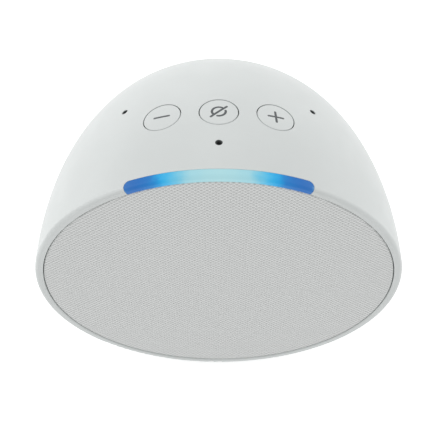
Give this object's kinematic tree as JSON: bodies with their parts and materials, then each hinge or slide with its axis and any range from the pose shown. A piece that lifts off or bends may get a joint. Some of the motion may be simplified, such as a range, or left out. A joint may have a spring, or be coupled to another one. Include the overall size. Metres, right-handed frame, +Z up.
{
  "type": "smart speaker",
  "caption": "Compact table-top smart speaker: a tilted half-round white dome with a flat cloth grille, a light bar on the rim, flush keys, microphone ports and a rear power inlet.",
  "frame": {"origin": "on the table under the middle of the speaker's overall box", "axes": "+Z up, +Y towards the back of the dome, +X to the right of a viewer facing the back, so the cloth grille looks along -Y and up"},
  "size_m": [0.099, 0.084, 0.091],
  "materials": {
    "shell_white": "satin",
    "key_white": "satin",
    "foot_rubber": "matte",
    "grille_plastic": "matte",
    "grille_cloth": "matte",
    "light_diffuser": "satin",
    "clear_plastic": "gloss",
    "black_plastic": "matte",
    "screw_steel": "satin",
    "black_foam": "matte",
    "surround_rubber": "satin",
    "spider_cloth": "matte",
    "cone_paper": "matte",
    "coil_copper": "satin",
    "basket_plastic": "satin",
    "plated_steel": "satin",
    "ferrite": "matte",
    "circuit_board": "satin",
    "chip_black": "matte",
    "led_white": "satin",
    "thermal_silicone": "matte",
    "heat_aluminium": "satin",
    "mic_metal": "satin",
    "mic_cloth": "matte",
    "flex_film": "satin",
    "wire_sleeve": "satin",
    "contact_metal": "polished"
  },
  "bodies": {
    "housing": {"baffle_screws": "screw_steel", "base_foot": "foot_rubber", "board_connectors": "black_plastic", "board_ribbon": "flex_film", "board_screws": "screw_steel", "button_board": "circuit_board", "button_carrier": "black_plastic", "button_screws": "screw_steel", "capacitors": "heat_aluminium", "chip_pad": "thermal_silicone", "driver_basket": "basket_plastic", "driver_gasket": "black_foam", "driver_magnet": "ferrite", "driver_screws": "screw_steel", "driver_spider": "spider_cloth", "driver_surround": "surround_rubber", "driver_terminals": "black_plastic", "driver_top_plate": "plated_steel", "driver_yoke": "plated_steel", "enclosure_screws": "screw_steel", "enclosure_seal": "black_foam", "front_baffle": "black_plastic", "grille_fabric": "grille_cloth", "grille_panel": "grille_plastic", "heat_spreader": "heat_aluminium", "housing_shell": "shell_white", "jack_contact": "contact_metal", "jack_pin": "contact_metal", "led_board": "circuit_board", "leds": "led_white", "light_bar": "light_diffuser", "light_guide": "clear_plastic", "main_board": "circuit_board", "memory_chip": "chip_black", "mic_boards": "circuit_board", "mic_capsules": "mic_metal", "mic_gaskets": "black_foam", "mic_meshes": "mic_cloth", "mic_port_liners": "black_foam", "power_inductor": "chip_black", "power_jack": "black_plastic", "power_wires": "wire_sleeve", "processor": "chip_black", "rear_enclosure": "black_plastic", "shield_can": "plated_steel", "speaker_wires": "wire_sleeve", "tact_switches": "chip_black", "thermal_pad": "thermal_silicone", "wifi_antennas": "flex_film", "wire_grommet": "black_foam"},
    "minus_key": {"button_minus": "key_white", "switch_plunger_minus": "chip_black"},
    "mute_key": {"button_mute": "key_white", "switch_plunger_mute": "chip_black"},
    "plus_key": {"button_plus": "key_white", "switch_plunger_plus": "chip_black"},
    "diaphragm": {"driver_cone": "cone_paper", "driver_dust_cap": "cone_paper", "voice_coil": "coil_copper"}
  },
  "joints": [
    {"name": "minus_press", "type": "slide", "parent": "housing", "child": "minus_key", "axis": [0.2923, -0.5785, -0.7615], "range_m": [0, 0.0004], "stiffness_N_per_m": 2000},
    {"name": "mute_press", "type": "slide", "parent": "housing", "child": "mute_key", "axis": [0, -0.5971, -0.8022], "range_m": [0, 0.0004], "stiffness_N_per_m": 2000},
    {"name": "plus_press", "type": "slide", "parent": "housing", "child": "plus_key", "axis": [-0.2923, -0.5785, -0.7615], "range_m": [0, 0.0004], "stiffness_N_per_m": 2000},
    {"name": "cone_stroke", "type": "slide", "parent": "housing", "child": "diaphragm", "axis": [0, -0.91, 0.4147], "range_m": [-0.0018, 0.0018], "stiffness_N_per_m": 1500, "deforming": ["driver_surround", "driver_spider"]}
  ]
}
